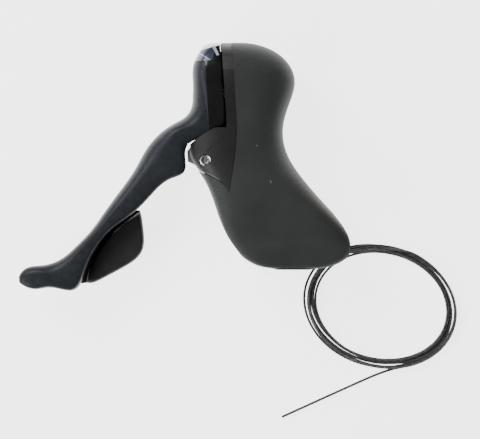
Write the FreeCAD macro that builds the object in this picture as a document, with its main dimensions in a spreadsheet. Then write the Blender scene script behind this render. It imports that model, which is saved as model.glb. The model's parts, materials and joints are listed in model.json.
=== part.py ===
"""Left-hand road brake and shift lever, lying on its inner side.

X runs along the handlebar seat, Y points from the seat towards the lever head and Z points to the
outer side. The origin is on the handlebar axis, in the middle of the clamp.
"""
import FreeCAD, Part
import math
import os

from FreeCAD import Placement, Rotation, Vector

doc = FreeCAD.newDocument("road_brake_shift_lever")
sheet = doc.addObject("Spreadsheet::Sheet", "sizes")
pieces = {}


class Size:
    """A number together with the spreadsheet expression that gives it."""

    def __init__(self, value, text):
        self.value = value
        self.text = text

    def __float__(self):
        return float(self.value)

    def __add__(self, other):
        return Size(float(self) + float(other), f"({self.text} + {words(other)})")

    def __radd__(self, other):
        return as_size(other) + self

    def __sub__(self, other):
        return Size(float(self) - float(other), f"({self.text} - {words(other)})")

    def __rsub__(self, other):
        return as_size(other) - self

    def __mul__(self, other):
        return Size(float(self) * float(other), f"({self.text} * {words(other)})")

    def __rmul__(self, other):
        return as_size(other) * self

    def __truediv__(self, other):
        return Size(float(self) / float(other), f"({self.text} / {words(other)})")

    def __neg__(self):
        return Size(-float(self), f"(0 - {self.text})")


def as_size(number):
    """A plain number as a Size, and a Size as it is."""
    return number if isinstance(number, Size) else Size(number, f"({number!r})")


def words(number):
    return as_size(number).text


class Sizes:
    """The driving dimensions, read as attributes: each is a cell with an alias."""

    def __init__(self):
        self.rows = 0

    def add(self, **cells):
        for alias, value in cells.items():
            self.rows += 1
            sheet.set(f"A{self.rows}", alias)
            sheet.set(f"B{self.rows}", str(value))
            sheet.setAlias(f"B{self.rows}", alias)
            setattr(self, alias, Size(float(value), f"sizes.{alias}"))


s = Sizes()

# Handlebar seat and clamp
s.add(bar_radius=12.0, seat_start=1.5, band_wall=1.0, band_width=13.0, band_leg=11.0)
s.add(clamp_bolt_radius=2.5, clamp_bolt_head_radius=4.2, clamp_bolt_head=4.0)
s.add(clamp_bolt_hex=2.0, clamp_nut_length=6.0, clamp_nut_width=9.0, clamp_nut_height=6.8)

# Rubber hood
s.add(hood_wall=2.2, hood_fit=0.25, hood_mouth=10.5, bar_passage=1.9, hood_edge_gap=0.15, hood_lip_gap=0.4)
s.add(crown_x=-24.8, crown_y=74.3, crown_rise=19.0, crown_reach=26.2, crown_half=16.7)

# Pivots
s.add(axle_x=-41.4, axle_y=37.1, axle_radius=2.5, axle_half=13.4, axle_slot=0.8, running_gap=0.05)
s.add(shift_axis_y=72.0, shift_axle_radius=3.0, shift_axle_head_radius=4.6, shift_axle_head=1.4)

# Gaps between what moves and what stands still
s.add(seam_gap=0.7, rest_gap=0.3)
s.add(seam_radius_rear=23.9, seam_radius_front=29.0, seam_rear_x=-33.6, seam_front_x=-48.4)

# Bracket rooms, clamp bolt, cable stop and cable outlet
s.add(clevis_half=8.0, clevis_back=-31.8, clevis_low=31.9, clevis_high=60.0)
s.add(unit_bore=12.4, unit_bore_end=-9.5, unit_shaft_radius=3.0, unit_shaft_end=-4.5)
s.add(bolt_x=-7.5, bolt_z=8.5, nut_y=11.8, bolt_head_y=24.5)
s.add(stop_radius=3.0, stop_length=9.0, stop_x=-22.0, stop_y=55.0, stop_z=-3.6, cable_radius=0.6)
s.add(outlet_x=8.8, outlet_z=-13.6, outlet_radius=1.25, outlet_length=4.2)

# Lever blade, its head and its name plate
s.add(head_half=13.0, bend_half=12.3, grip_half=7.4, tip_half=5.4)
s.add(head_wall=3.4, blade_wall=2.4, blade_side=2.2, plate_wall=1.3, plate_gap=0.12)
s.add(blade_hub_radius=5.5, blade_hub_end=-43.7, shift_axle_start=-47.2)
s.add(plate_screw_x=-37.4, plate_screw_y=81.0, plate_screw_low=5.2, plate_screw_radius=1.2)

# Lever base and shift axle
s.add(base_low=-7.4, base_high=7.4, base_hub_top=4.6, swing_relief_y=48.0, swing_relief_z=0.2)
s.add(swing_angle=20.0, boss_radius=6.2, boss_start=-39.6, boss_end=-34.7)
s.add(hook_x=-38.0, hook_y=55.0, hook_radius=2.2, hook_low=-6.8, hook_high=2.0)
s.add(clip_wall=0.8, clip_radius=4.8, shift_axle_end=-33.3)

# Release lever
s.add(release_start=-43.1, release_wall=1.4, release_ring=5.0, arm_wall=1.8, arm_low=-5.6, arm_high=-1.5)
s.add(arm_clear=1.4, arm_room=1.0, paddle_low=-18.5, paddle_high=-2.0, flange_low=-13.4, flange_high=-9.7)
s.add(rivet_radius=1.3, rivet_x=-84.0, rivet_y=11.0, rivet_wall=1.6, rivet_head=0.9)

# Winding unit
s.add(unit_start=-32.6, take_up_wall=1.8, wheel_wall=2.0, unit_space=0.2, drum_wall=6.0, drum_radius=9.2)
s.add(drum_groove=7.6, wheel_root=6.4, wheel_tip=8.4, tooth_half=0.75, tooth_count=6)
s.add(pawl_ring=10.6, pawl_pin_radius=0.9, pawl_eye=1.5, pawl_reach=8.15, pawl_half=0.7, pawl_pin_seat=1.4)
s.add(spring_radius=6.2, spring_wire=0.9, spring_start=-21.0, spring_pitch=1.6)
s.add(nut_start=-14.2, unit_nut_wall=3.6, unit_nut_radius=5.4)

# Loose shift cable
s.add(coil_x=41.9, coil_y=-31.9, coil_half_length=33.8, coil_half_width=27.3, coil_bundle=6.0, coil_height=3.4)
s.add(table_z=-18.5, tail_end_x=-4.3, tail_end_y=-84.3)

# Hood and bracket sections, one row per height: height, front edge, palm edge, half width and how
# square the section is; round the bar its sides have to reach the front and palm edges
POD_ROWS = {
    "heel": (-15.1, -8.0, 9.5, 12.2, 2.4),
    "sole": (-13.8, -14.7, 18.0, 12.8, 2.5),
    "rear": (-11.4, -20.6, 24.1, 13.6, 2.6),
    "skirt": (-7.0, -26.1, 28.8, 14.7, 2.6),
    "saddle": (0.0, -31.0, 28.4, 17.3, 2.6),
    "flank": (9.0, -34.4, 22.0, 18.2, 2.2),
    "belly": (20.0, -38.2, 12.0, 17.8, 1.5),
    "lip": (30.0, -43.3, 3.8, 17.1, 1.15),
    "pivot": (40.0, -49.5, -2.2, 16.5, 1.0),
    "waist": (50.0, -50.0, -4.3, 16.1, 1.0),
    "neck": (60.0, -50.0, -2.6, 16.2, 1.0),
    "throat": (68.0, -50.0, 0.2, 16.6, 1.0),
}
ROW_COLUMNS = ("y", "front", "palm", "half", "square")
for row, values in POD_ROWS.items():
    s.add(**{f"{row}_{column}": value for column, value in zip(ROW_COLUMNS, values)})
doc.recompute()


def bind(target, **properties):
    """Tie each property of an object to a Size, or set it to a plain value."""
    for name, value in properties.items():
        if isinstance(value, Size):
            target.setExpression(name, value.text)
        else:
            setattr(target, name, value)
    return target


TURNS = {
    "z": Rotation(),
    "x": Rotation(Vector(0, 1, 0), 90),
    "y": Rotation(Vector(1, 0, 0), -90),
    "-x": Rotation(Vector(0, 1, 0), -90),
    "-z": Rotation(Vector(1, 0, 0), 180),
    "-y": Rotation(Vector(1, 0, 0), 90),
}


def place(target, at, axis="z"):
    """Put an object's own origin at a point, with its own Z along the given axis."""
    target.Placement = Placement(Vector(*[float(c) for c in at]), TURNS[axis])
    for letter, value in zip("xyz", at):
        target.setExpression(f"Placement.Base.{letter}", words(value))
    return target


def cylinder(name, radius, height, at, axis="z"):
    return place(bind(doc.addObject("Part::Cylinder", name), Radius=radius, Height=height), at, axis)


def cone(name, radius_a, radius_b, height, at, axis="z"):
    target = doc.addObject("Part::Cone", name)
    return place(bind(target, Radius1=radius_a, Radius2=radius_b, Height=height), at, axis)


def ring(name, radius, wire, at, axis="z"):
    return place(bind(doc.addObject("Part::Torus", name), Radius1=radius, Radius2=wire), at, axis)


def block(name, low, high):
    """A box from its low corner to its high corner."""
    target = doc.addObject("Part::Box", name)
    bind(target, Length=as_size(high[0]) - low[0], Width=as_size(high[1]) - low[1],
         Height=as_size(high[2]) - low[2])
    return place(target, low)


def plus(name, *parts):
    return bind(doc.addObject("Part::MultiFuse", name), Shapes=list(parts))


def minus(name, base, *tools):
    tool = tools[0] if len(tools) == 1 else plus(f"{name}_tools", *tools)
    return bind(doc.addObject("Part::Cut", name), Base=base, Tool=tool)


def common(name, *parts):
    return bind(doc.addObject("Part::MultiCommon", name), Shapes=list(parts))


def free_form(name, shape):
    """A shape that no sketch or primitive gives, worked out from the sheet's sizes."""
    target = doc.addObject("Part::Feature", name)
    target.Shape = shape
    return target


def publish(node, target):
    """Name an object as one of the assembly's parts."""
    target.Label = node
    pieces[node] = target
    return target


def outline(sketch, points):
    """A closed line through the points, each held by two dimensions."""
    from Sketcher import Constraint
    count = len(points)
    flat = [Vector(float(x), float(y), 0) for x, y in points]
    first = sketch.GeometryCount
    for k in range(count):
        sketch.addGeometry(Part.LineSegment(flat[k], flat[(k + 1) % count]), False)
    for k in range(count):
        sketch.addConstraint(Constraint("Coincident", first + k, 2, first + (k + 1) % count, 1))
    for k, (x, y) in enumerate(points):
        for kind, value, axis in (("DistanceX", x, -2), ("DistanceY", y, -1)):
            if float(value) == 0:
                sketch.addConstraint(Constraint("PointOnObject", first + k, 1, axis))
                continue
            index = sketch.addConstraint(Constraint(kind, -1, 1, first + k, 1, float(value)))
            sketch.setExpression(f"Constraints[{index}]", words(value))


def circle(sketch, radius, x=0, y=0):
    """A full circle about a point, its radius and centre held by dimensions."""
    from Sketcher import Constraint
    centre = Vector(float(x), float(y), 0)
    g = sketch.addGeometry(Part.Circle(centre, Vector(0, 0, 1), float(radius)), False)
    index = sketch.addConstraint(Constraint("Radius", g, float(radius)))
    sketch.setExpression(f"Constraints[{index}]", words(radius))
    for kind, value, axis in (("DistanceX", x, -2), ("DistanceY", y, -1)):
        if float(value) == 0:
            sketch.addConstraint(Constraint("PointOnObject", g, 3, axis))
            continue
        index = sketch.addConstraint(Constraint(kind, -1, 1, g, 3, float(value)))
        sketch.setExpression(f"Constraints[{index}]", words(value))


def sketch_in(body, name, plane):
    """A sketch on one of the body's own origin planes."""
    sketch = body.newObject("Sketcher::SketchObject", name)
    support = [f for f in body.Origin.OriginFeatures if f.Role == plane][0]
    sketch.AttachmentSupport = [(support, "")]
    sketch.MapMode = "FlatFace"
    return sketch


def turned(name, profile, at, axis):
    """A body turned about its own Z from (radius, height) points."""
    body = doc.addObject("PartDesign::Body", name)
    sketch = sketch_in(body, f"{name}_profile", "XZ_Plane")
    outline(sketch, profile)
    turn = body.newObject("PartDesign::Revolution", f"{name}_turn")
    turn.Profile = sketch
    turn.ReferenceAxis = (sketch, ["V_Axis"])
    turn.Angle = 360
    return place(body, at, axis)


def padded(name, draw, thickness, at, axis):
    """A body pushed up its own Z from a sketch that draw() fills."""
    body = doc.addObject("PartDesign::Body", name)
    sketch = sketch_in(body, f"{name}_outline", "XY_Plane")
    draw(sketch)
    pad = body.newObject("PartDesign::Pad", f"{name}_pad")
    pad.Profile = sketch
    bind(pad, Length=as_size(thickness))
    return place(body, at, axis)


def rounded_section(centre, across, half, low_power, high_power, steps=10):
    """A closed curve like a rounded box: from centre - across to centre + across, half as deep in Z."""
    points = []
    for k in range(2 * steps):
        angle = math.pi * k / steps
        c, t = math.cos(angle), math.sin(angle)
        power = high_power if c >= 0 else low_power
        along = math.copysign(abs(c) ** (2 / power), c)
        deep = math.copysign(abs(t) ** (2 / power), t)
        points.append(centre + across * along + Vector(0, 0, half * deep))
    curve = Part.BSplineCurve()
    curve.interpolate(points, PeriodicFlag=True)
    return Part.Wire([curve.toShape()])


def smooth_edge(points):
    curve = Part.BSplineCurve()
    curve.interpolate([Vector(x, y, 0) for x, y in points])
    return curve.toShape()


def straight_edges(points):
    flat = [Vector(x, y, 0) for x, y in points]
    return [Part.makeLine(a, b) for a, b in zip(flat, flat[1:])]


def prism(edges, low=-60.0, high=60.0):
    """A solid between two heights over a closed chain of edges."""
    face = Part.Face(Part.Wire(Part.__sortEdges__(edges)))
    face.translate(Vector(0, 0, low))
    return face.extrude(Vector(0, 0, high - low))


def pod(inset):
    """The body that the hood wraps, drawn in by an inset."""
    inset = float(inset)
    rows = []
    lowest = float(s.heel_y) + inset
    for row in POD_ROWS:
        y, front, palm, half, square = [float(getattr(s, f"{row}_{column}")) for column in ROW_COLUMNS]
        if inset and y < lowest + 1:
            continue
        drawn_in = inset if y < float(s.lip_y) + 1 else 0.0
        rows.append((y, front + drawn_in, palm - inset, half - inset, square))
    if inset > 1:
        y, front, palm, half, square = rows[0]
        rows.insert(0, (lowest, front + 3.0, palm - 4.0, half - 1.5, square))
    for degrees in (0, 20, 38, 54, 68, 78, 85):
        angle = math.radians(degrees)
        y = float(s.crown_y) + (float(s.crown_rise) - inset) * math.sin(angle)
        palm = float(s.crown_x) + (float(s.crown_reach) - inset) * math.cos(angle)
        half = (float(s.crown_half) - inset) * math.cos(angle) ** 0.8
        rows.append((y, float(s.throat_front), palm, half, float(s.throat_square)))
    wires = []
    for y, front, palm, half, square in rows:
        centre = Vector((front + palm) / 2, y, 0)
        across = Vector((palm - front) / 2, 0, 0)
        wires.append(rounded_section(centre, across, half, 3.0 * square, 2.4 * square))
    return Part.makeLoft(wires, True, False)


# Where the hood's front edge and its lower lip run, seen from the outer side
HOOD_EDGE = [(-28.9, 97.0), (-27.9, 80.0), (-26.7, 62.0), (-26.3, 50.0), (-27.3, 38.0), (-30.0, 21.6)]
HOOD_LIP = [(-30.0, 21.6), (-32.0, 24.7), (-35.1, 27.3), (-39.8, 29.8), (-44.4, 32.0), (-60.0, 36.0)]
# Where the bracket ends towards the lever
BRACKET_FRONT = [(-34.0, 97.0), (-31.2, 57.5), (-31.2, 52.5), (-48.2, 52.5), (-48.7, 38.5), (-46.6, 34.0)]


def seam_cone(name, grow):
    """Solid about the shift axis that parts the lever head from the bracket cheeks."""
    slope = (s.seam_radius_front - s.seam_radius_rear) / (s.seam_rear_x - s.seam_front_x)
    reach = 6.0
    wide = s.seam_radius_front + grow + slope * reach
    narrow = s.seam_radius_rear + grow - slope * reach
    length = s.seam_rear_x - s.seam_front_x + 2 * reach
    return cone(name, wide, narrow, length, (s.seam_front_x - reach, s.shift_axis_y, 0), "x")


front_edges = [smooth_edge(HOOD_EDGE), smooth_edge(HOOD_LIP)]
front_edges += straight_edges([HOOD_LIP[-1], (-60.0, 97.0), HOOD_EDGE[0]])
front_room = free_form("front_room", prism(front_edges))

bar_passage = cylinder("bar_passage", s.bar_radius + s.bar_passage, 160.0, (-80.0, 0, 0), "x")
hood_mouth = block("hood_mouth", (-60.0, -30.0, -s.hood_mouth), (60.0, -6.0, s.hood_mouth))
hood_outer = free_form("hood_outer", pod(0))
hood_hollow = free_form("hood_hollow", pod(s.hood_wall))
hood = minus("hood_shell", hood_outer, hood_hollow, front_room, bar_passage, hood_mouth)
publish("hood", hood)

core_box = block("core_box", (-60.0, s.seat_start, -40.0), (60.0, 100.0, 40.0))
core = common("core", free_form("core_pod", pod(s.hood_wall + s.hood_fit)), core_box)
moved_room = front_room.Shape.copy()
moved_room.translate(Vector(-float(s.hood_edge_gap), float(s.hood_lip_gap), 0))
front = common("front", free_form("front_pod", pod(0.12)), free_form("front_limit", moved_room))
keep_edges = straight_edges(BRACKET_FRONT + [(-42.5, 31.0), (-60.0, 20.0), (-60.0, -5.0), (60.0, -5.0),
                                             (60.0, 97.0), BRACKET_FRONT[0]])
keep = free_form("bracket_keep", prism(keep_edges))
bracket_solid = common("bracket_solid", plus("bracket_sum", core, front), keep)
seam_room = minus("seam_room", seam_cone("seam_cone_bracket", 0.0),
                  block("seam_limit", (-31.2, 0.0, -40.0), (0.0, 120.0, 40.0)),
                  block("seam_limit_top", (-80.0, 57.5, -60.0), (0.0, 140.0, 60.0)))
bracket_cuts = [
    seam_room,
    cylinder("seat_cut", s.bar_radius, 160.0, (-80.0, 0, 0), "x"),
    block("clevis_cut", (-70.0, s.clevis_low, -s.clevis_half), (s.clevis_back, s.clevis_high, s.clevis_half)),
    cylinder("unit_cut", s.unit_bore, s.unit_bore_end + 40.0, (-40.0, s.shift_axis_y, 0), "x"),
    cylinder("shaft_cut", s.unit_shaft_radius + s.running_gap, s.unit_shaft_end - s.unit_bore_end + 1.0,
             (s.unit_bore_end - 1.0, s.shift_axis_y, 0), "x"),
    cylinder("axle_cut", s.axle_radius + s.running_gap, 60.0, (s.axle_x, s.axle_y, -30.0)),
    block("band_cut_outer", (-s.band_width / 2 - s.rest_gap, -1.0, s.bar_radius - 0.4),
          (s.band_width / 2 + s.rest_gap, s.nut_y + 0.2, s.bar_radius + s.band_wall + 0.2)),
    block("band_cut_inner", (-s.band_width / 2 - s.rest_gap, -1.0, -s.bar_radius - s.band_wall - 0.2),
          (s.band_width / 2 + s.rest_gap, s.nut_y + 0.2, -s.bar_radius + 0.4)),
    block("nut_cut", (s.bolt_x - s.clamp_nut_width / 2 - 0.2, s.nut_y - 0.2, s.bolt_z - s.clamp_nut_height / 2 - 0.2),
          (s.bolt_x + s.clamp_nut_width / 2 + 0.2, s.nut_y + s.clamp_nut_length + 0.2, 30.0)),
    cylinder("bolt_cut", s.clamp_bolt_radius + 0.25, 20.0, (s.bolt_x, s.nut_y, s.bolt_z), "y"),
    block("bolt_room", (s.bolt_x - s.clamp_bolt_head_radius - 0.4, s.bolt_head_y, s.bolt_z - 4.6),
          (s.bolt_x + s.clamp_bolt_head_radius + 0.4, s.bolt_head_y + 12.0, 30.0)),
    cylinder("stop_cut", s.stop_radius, 40.0, (s.stop_x, s.stop_y, s.stop_z), "x"),
    cylinder("brake_cable_cut", 1.4, 20.0, (-36.0, s.stop_y, s.stop_z), "x"),
    cylinder("outlet_cut", s.outlet_radius, 5.0, (s.outlet_x, s.seat_start - 1.0, s.outlet_z), "y"),
    cylinder("set_screw_cut", 1.5, 6.2, (s.axle_x + s.axle_radius - 0.1, s.axle_y, 10.4), "x"),
    cylinder("pawl_pin_cut", s.pawl_pin_radius, s.pawl_pin_seat + 1.0,
             (s.unit_bore_end - 1.0, s.shift_axis_y, -s.pawl_ring), "x"),
]
bracket = minus("bracket_cut", bracket_solid, *bracket_cuts)
publish("bracket_body", bracket)

# Lever blade: front points and rear points of its sections, from the head down to the hooked tip
BLADE_FRONT = [(-40.5, 92.6), (-44.3, 88.8), (-46.6, 84.0), (-47.5, 77.0), (-47.4, 69.5), (-47.8, 63.0),
               (-50.5, 58.2), (-56.0, 54.8), (-61.5, 51.2), (-67.5, 45.2), (-73.0, 36.2), (-79.5, 26.0),
               (-86.5, 16.6), (-94.0, 6.0), (-101.5, -2.4), (-108.0, -8.4), (-114.0, -11.8),
               (-120.0, -13.1), (-125.5, -13.8), (-129.0, -16.0), (-130.4, -18.3)]
BLADE_REAR = [(-31.0, 93.4), (-30.6, 91.2), (-30.4, 86.6), (-30.0, 79.0), (-29.6, 70.3), (-29.2, 59.4),
              (-31.6, 51.6), (-41.0, 47.6), (-50.4, 41.5), (-50.2, 33.0), (-57.0, 28.1), (-66.7, 20.4),
              (-74.5, 12.6), (-84.5, 5.2), (-92.6, -3.6), (-97.8, -13.2), (-101.5, -22.3),
              (-111.0, -24.3), (-120.5, -24.2), (-127.3, -23.2), (-130.2, -21.0)]
BEND = 6
CHANNEL_END = 15


def blade_half(index):
    """Half width of the blade at a section, eased between the named widths."""
    if index < BEND:
        return float(s.head_half) * (0.42, 0.72, 0.89, 0.985, 1.0, 0.99)[index]
    if index <= CHANNEL_END:
        share = (index - BEND) / (CHANNEL_END - BEND)
        return float(s.bend_half) + float(s.grip_half - s.bend_half) * share
    return float(s.tip_half) * (1.28, 1.19, 1.0, 0.76, 0.39)[index - CHANNEL_END - 1]


def blade_section(index, front_wall, side_wall, past_rear):
    """Front point, rear point and half width of one section, drawn in by wall thicknesses."""
    front = Vector(*BLADE_FRONT[index], 0)
    rear = Vector(*BLADE_REAR[index], 0)
    along = (rear - front).normalize()
    half = max(blade_half(index) - side_wall, 0.6)
    return front + along * front_wall, rear + along * past_rear, half


def blade_loft(rows, front_power=2.6, rear_power=6.0):
    """A smooth solid through sections given by front point, rear point and half width."""
    wires = []
    for front, rear, half in rows:
        centre = (front + rear) * 0.5
        wires.append(rounded_section(centre, (rear - front) * 0.5, half, front_power, rear_power))
    return Part.makeLoft(wires, True, False)


gap = s.seam_gap
outer_rows = [blade_section(k, 0.0, 0.0, 0.0) for k in range(len(BLADE_FRONT))]
blade_outer = free_form("blade_outer", blade_loft(outer_rows))
channel_rows = []
for k in range(1, CHANNEL_END):
    front_wall, side_wall = (s.head_wall, s.head_wall) if k <= BEND else (s.blade_wall, s.blade_side)
    channel_rows.append(blade_section(k, float(front_wall), float(side_wall), 9.0))
blade_channel = free_form("blade_channel", blade_loft(channel_rows, 4.0, 7.0))
opening_rows = []
for k in range(BEND - 2, CHANNEL_END - 1):
    front_wall = s.head_wall if k <= BEND else s.blade_wall
    opening_rows.append(blade_section(k, float(front_wall - s.arm_room), 0.0, 14.0))
inside = [row[0] for row in opening_rows]
behind = [row[1] for row in opening_rows]
inside_points = [(v.x, v.y) for v in inside + behind[::-1] + inside[:1]]
side_opening = free_form("side_opening", prism(straight_edges(inside_points), -40.0, -1.0))
seam_x = float(gap)
rear_edges = straight_edges([(-34.0 - seam_x, 97.0), (-31.2 - seam_x, 57.5), (-31.2 - seam_x, 20.0),
                             (10.0, 20.0), (10.0, 97.0), (-34.0 - seam_x, 97.0)])
rear_room = free_form("rear_room", prism(rear_edges))
cheek_room = minus("cheek_room", block("cheek_block", (s.seam_front_x - 1.3, -40.0, -40.0),
                                       (-20.0, s.shift_axis_y, 40.0)), seam_cone("seam_cone_lever", -gap))

PLATE = [(-41.2, 84.1), (-39.3, 48.0), (-25.0, 46.0), (-25.0, 84.9)]
TRIM = [(-52.0, 84.3), (-41.2, 84.3), (-25.0, 85.1), (-25.0, 98.0), (-52.0, 98.0)]
plate_room = free_form("plate_room", prism(straight_edges(PLATE + PLATE[:1]), 4.0))
recess = [(PLATE[0][0], 88.0)] + PLATE[:3] + [(PLATE[3][0], 88.0), (PLATE[0][0], 88.0)]
recess_room = free_form("recess_room", prism(straight_edges(recess), 4.0))
trim_room = free_form("trim_room", prism(straight_edges(TRIM + TRIM[:1])))
under, over = float(s.plate_wall + s.plate_gap), float(s.plate_wall)
under_plate = free_form("under_plate", blade_loft([blade_section(k, under, under, 6.0) for k in range(9)]))
over_plate = free_form("over_plate", blade_loft([blade_section(k, over, over, 6.0) for k in range(9)]))
skin_room = minus("skin_room", plus("cover_room", recess_room, trim_room), under_plate)

hub_x = s.shift_axle_start + s.shift_axle_head
blade_hub = cylinder("blade_hub", s.blade_hub_radius, s.blade_hub_end - hub_x + 0.4,
                     (hub_x - 0.4, s.shift_axis_y, 0), "x")
blade_open = minus("blade_open", blade_outer, blade_channel)
blade_rear = minus("blade_rear", minus("blade_shell", blade_open, side_opening), rear_room)
blade_bare = minus("blade_bare", minus("blade_clear", blade_rear, cheek_room), skin_room)
blade_sum = plus("blade_sum", blade_bare, blade_hub)
blade_cuts = [
    cylinder("axle_head_cut", s.shift_axle_head_radius + 0.1, 12.0, (hub_x - 12.0, s.shift_axis_y, 0), "x"),
    cylinder("shift_bore", s.shift_axle_radius + s.running_gap, 12.0, (hub_x - 1.0, s.shift_axis_y, 0), "x"),
    cylinder("plate_screw_cut", s.plate_screw_radius, 20.0, (s.plate_screw_x, s.plate_screw_y, 0.0)),
]
publish("brake_blade", minus("blade_cut", blade_sum, *blade_cuts))
plate_skin = common("plate_skin", blade_outer, plate_room)
name_plate = minus("plate_cut", plate_skin, over_plate, rear_room, cheek_room)
publish("name_plate", name_plate)
trim_skin = common("trim_skin", blade_outer, trim_room)
publish("plate_trim", minus("trim_cut", trim_skin, over_plate, rear_room))

# Lever base: turns on the lever axle and carries the shift axle

BASE = [(-50.0, 41.2), (-49.6, 36.4), (-44.4, 34.1), (-41.4, 32.9), (-38.2, 34.2), (-36.2, 37.1),
        (-35.2, 50.0), (-34.9, 60.0), (-34.7, 74.0), (-39.6, 74.0), (-39.6, 64.5), (-40.9, 62.5),
        (-40.9, 57.0), (-46.0, 47.0)]
base_arm = padded("base_arm", lambda k: outline(k, BASE), s.base_high - s.base_low, (0, 0, s.base_low), "z")
base_boss = cylinder("base_boss", s.boss_radius, s.boss_end - s.boss_start,
                     (s.boss_start, s.shift_axis_y, 0), "x")
slope = math.tan(math.radians(float(s.swing_angle)))
relief = []
for y in (42.6, 90.0):
    relief.append(Vector(-70, y, float(s.swing_relief_z) + (y - float(s.swing_relief_y)) * slope))
relief += [Vector(-70, 90.0, 40.0), Vector(-70, 42.6, 40.0)]
relief_face = Part.Face(Part.makePolygon(relief + relief[:1]))
swing_relief = free_form("swing_relief", relief_face.extrude(Vector(60, 0, 0)))
base_cuts = [
    swing_relief,
    block("hub_top_cut", (-70.0, 20.0, s.base_hub_top), (-20.0, 43.0, 30.0)),
    cylinder("base_axle_bore", s.axle_radius + s.running_gap, 40.0, (s.axle_x, s.axle_y, -20.0)),
    cylinder("base_shift_bore", s.shift_axle_radius, 20.0, (-45.0, s.shift_axis_y, 0), "x"),
    cylinder("hook_bore", s.hook_radius + s.running_gap, 40.0, (s.hook_x, s.hook_y, -20.0)),
    cylinder("base_cable_bore", 1.2, 12.0, (s.hook_x, s.hook_y, s.stop_z), "x"),
]
publish("lever_base", minus("base_cut", plus("base_sum", base_arm, base_boss), *base_cuts))

axle_body = turned("lever_axle_body", [(0, 0), (s.axle_radius, 0), (s.axle_radius, s.axle_half * 2 - 0.4),
                                       (s.axle_radius - 0.4, s.axle_half * 2), (0, s.axle_half * 2)],
                   (s.axle_x, s.axle_y, -s.axle_half), "z")
slot_cut = block("axle_slot_cut", (s.axle_x - 4.0, s.axle_y - s.axle_slot / 2, s.axle_half - 0.7),
                 (s.axle_x + 4.0, s.axle_y + s.axle_slot / 2, s.axle_half + 5.0))
publish("lever_axle", minus("lever_axle_cut", axle_body, slot_cut))
publish("lever_return_spring", ring("lever_spring", 3.7, 0.9, (s.axle_x, s.axle_y, s.base_hub_top + 1.6)))

head, shank = s.shift_axle_head_radius, s.shift_axle_radius
length = s.shift_axle_end - s.shift_axle_start
shift_axle = turned("shift_axle_body", [
    (0, 0), (head - 0.4, 0), (head, 0.4), (head, s.shift_axle_head), (shank, s.shift_axle_head),
    (shank, length), (0, length)], (s.shift_axle_start, s.shift_axis_y, 0), "x")
publish("shift_axle", shift_axle)
clip = turned("axle_clip_body", [
    (shank, 0), (s.clip_radius, 0), (s.clip_radius, s.clip_wall), (shank, s.clip_wall)],
    (s.boss_end + 0.2, s.shift_axis_y, 0), "x")
publish("axle_clip", clip)
hook = cylinder("hook_barrel", s.hook_radius, s.hook_high - s.hook_low, (s.hook_x, s.hook_y, s.hook_low))
hook_hole = cylinder("hook_hole", 0.9, 10.0, (s.hook_x - 5.0, s.hook_y, s.stop_z), "x")
publish("cable_hook", minus("hook_cut", hook, hook_hole))

screw = turned("plate_screw_body", [
    (0, 0), (2.0, 0), (2.0, 1.2), (s.plate_screw_radius, 1.2), (s.plate_screw_radius, 4.4), (0, 4.4)],
    (s.plate_screw_x, s.plate_screw_y, s.plate_screw_low), "z")
publish("plate_screw", screw)
publish("main_return_spring", ring("main_spring", 4.6, 0.7, (s.boss_start - 0.95, s.shift_axis_y, 0), "x"))

# Release lever: a steel arm inside the blade and a moulded paddle behind it

middle = [Vector(float(s.release_start + s.release_wall / 2), y, 0) for y in (68.5, 64.5)]
for k in range(BEND, 13):
    wall = float(s.head_wall if k <= BEND else s.blade_wall)
    front, rear, half = blade_section(k, wall + float(s.arm_clear) + float(s.arm_wall) / 2, 0.0, 0.0)
    middle.append(front)
middle.append(Vector(float(s.rivet_x), float(s.rivet_y), 0))
spine = Part.BSplineCurve()
spine.interpolate(middle)
sides = [[], []]
for k in range(33):
    at = spine.FirstParameter + (spine.LastParameter - spine.FirstParameter) * k / 32
    way = spine.tangent(at)[0]
    across = Vector(-way.y, way.x, 0) * float(s.arm_wall / 2)
    for side, sign in zip(sides, (1, -1)):
        point = spine.value(at) + across * sign
        side.append((point.x, point.y))
strip_edges = [smooth_edge(sides[0]), smooth_edge(sides[1])]
strip_edges += straight_edges([sides[0][0], sides[1][0]]) + straight_edges([sides[0][-1], sides[1][-1]])
strip = free_form("arm_strip", prism(strip_edges, float(s.arm_low), float(s.arm_high)))
hub = cylinder("arm_ring", s.release_ring, s.release_wall, (s.release_start, s.shift_axis_y, 0), "x")
pad = cylinder("arm_pad", s.rivet_radius + s.rivet_wall, s.arm_high - s.arm_low,
               (s.rivet_x, s.rivet_y, s.arm_low))
arm_cuts = [
    cylinder("arm_bore", s.shift_axle_radius + s.running_gap, 10.0, (-47.0, s.shift_axis_y, 0), "x"),
    cylinder("arm_rivet_bore", s.rivet_radius, 20.0, (s.rivet_x, s.rivet_y, -16.0)),
]
publish("release_arm", minus("arm_cut", plus("arm_sum", strip, hub, pad), *arm_cuts))

# The paddle's two edges, along the slit behind the blade and round its free side
PADDLE_SLIT = [(-72.5, 12.7), (-75.6, 10.6), (-80.7, 6.9), (-87.0, 1.0), (-92.4, -5.6), (-96.2, -12.8), (-98.4, -21.4)]
PADDLE_FREE = [(-98.4, -21.4), (-96.2, -21.7), (-92.5, -20.5), (-86.2, -17.2), (-76.9, -11.9), (-73.2, -8.7),
               (-71.3, -5.4), (-70.7, -1.6), (-71.1, 4.6), (-71.9, 10.3), (-72.5, 12.7)]
PADDLE_CENTRE = (-82.0, -6.0)


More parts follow.
